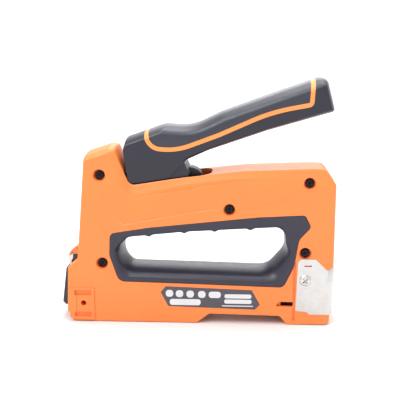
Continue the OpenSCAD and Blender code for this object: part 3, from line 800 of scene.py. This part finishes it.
def bevelled(node, width_mm, angle=35):
    """Rounds the edges of a CAD node with modifiers, and leaves its mesh alone."""
    obj = NODES[node]
    weld = obj.modifiers.new("weld", "WELD")
    weld.merge_threshold = 1e-6
    bevel = obj.modifiers.new("bevel", "BEVEL")
    bevel.width, bevel.segments = width_mm * MM, 2
    bevel.limit_method, bevel.angle_limit = "ANGLE", math.radians(angle)
    bevel.use_clamp_overlap = True
    bevel.harden_normals = True


# Floor, light and camera ----------------------------------------------------------------
FLOOR_RADIUS, FLOOR_SIDES = 6.0, 96
WORLD_STRENGTH = 1.08
AZIMUTH, ELEVATION, DISTANCE, TARGET, LENS = 3.0, 12.0, 0.6, (0.003, 0, 0.08425), 77.1


def stage():
    """A round white floor, greyer under the tool as painted shade, in plain white surroundings."""
    mesh = bpy.data.meshes.new("floor")
    angles = [2 * math.pi * k / FLOOR_SIDES for k in range(FLOOR_SIDES)]
    mesh.from_pydata([(FLOOR_RADIUS * math.cos(a), FLOOR_RADIUS * math.sin(a), 0) for a in angles],
                     [], [list(range(FLOOR_SIDES))])
    floor = bpy.data.objects.new("floor", mesh)
    bpy.context.scene.collection.objects.link(floor)
    floor.location.z = -0.0001
    m, nodes, links, shader = new_material("floor")
    here = nodes.new("ShaderNodeTexCoord").outputs["Object"]
    away = nodes.new("ShaderNodeVectorMath")
    away.operation = "LENGTH"
    links.new(here, away.inputs[0])
    # painted shade: the floor's colour darkens towards the tool
    painted_floor_shade = ramp(nodes, links, away.outputs["Value"], 0.3, 1.4)
    links.new(mix_colour(nodes, links, painted_floor_shade, (0.68, 0.68, 0.68), (0.97, 0.97, 0.97)),
              shader.inputs["Base Color"])
    shader.inputs["Roughness"].default_value = 0.9
    shader.inputs["Specular IOR Level"].default_value = 0.1
    dress(floor, m)
    world = bpy.data.worlds.new("studio")
    bpy.context.scene.world = world
    world.use_nodes = True
    background = world.node_tree.nodes["Background"]
    background.inputs["Color"].default_value = (1, 1, 1, 1)
    background.inputs["Strength"].default_value = WORLD_STRENGTH


def area(name, place, aim, size, watts):
    data = bpy.data.lights.new(name, "AREA")
    data.shape, data.size, data.energy = "DISK", size, watts
    obj = bpy.data.objects.new(name, data)
    obj.location = place
    obj.rotation_mode = "QUATERNION"
    obj.rotation_quaternion = (Vector(aim) - Vector(place)).to_track_quat("-Z", "Y")
    bpy.context.scene.collection.objects.link(obj)


def camera():
    data = bpy.data.cameras.new("camera")
    data.sensor_width, data.lens = 36, LENS
    data.clip_start, data.clip_end = 0.01, 50
    cam = bpy.data.objects.new("camera", data)
    a, e = math.radians(AZIMUTH), math.radians(ELEVATION)
    back = Vector((math.sin(a) * math.cos(e), -math.cos(a) * math.cos(e), math.sin(e)))
    cam.location = Vector(TARGET) + back * DISTANCE
    cam.rotation_mode = "QUATERNION"
    cam.rotation_quaternion = (-back).to_track_quat("-Z", "Y")
    bpy.context.scene.collection.objects.link(cam)
    bpy.context.scene.camera = cam


# Assembly -------------------------------------------------------------------------------
def main():
    materials = make_materials()
    for part in frame["record"]["subparts"]:
        if part["node"] in NODES:
            dress(NODES[part["node"]], materials[part["material_slot"]])
    form = body_form()
    left = shell("shell_left", "housing_left", form)
    right = shell("shell_right", "housing_right", form)
    bpy.data.objects.remove(form)
    for piece in (left, right):
        dress(piece, materials["shell_orange"])
    for name, node, side in (("insert_left", "grip_insert_left", -1),
                             ("insert_right", "grip_insert_right", 1)):
        dress(insert_half(name, node, side), materials["insert_plastic"])
    body, stripe, grip = handle_pieces()
    dress(body, materials["handle_plastic"])
    dress(stripe, materials["stripe_orange"])
    dress(grip, materials["grip_rubber"])
    dress(housing_screws(), materials["black_oxide"])
    for piece in plate_screws():
        dress(piece, materials["bright_steel"])
    label_pieces(materials)
    dress(rear_latch(), materials["black_plastic"])
    for piece, slot in latch_strike():
        dress(piece, materials[slot])
    dress(dark_frame(), materials["dark_steel"])
    for piece in springs():
        dress(piece, materials["spring_steel"])
    for node, width in (("nose_plate", 0.12), ("rail_end_block", 0.3), ("lifter_lever", 0.2),
                        ("striker_carriage", 0.2)):
        bevelled(node, width)
    stage()
    area("key", (-0.5, -0.75, 1.1), (0, 0, 0.08), 0.6, 9)
    area("top", (0.1, 0.15, 1.1), (0, 0, 0.08), 0.9, 12)
    area("back", (0.0, 1.3, 0.85), (0, 0, 0.08), 1.0, 5)
    camera()
    bpy.context.scene.view_settings.view_transform = "Standard"


main()
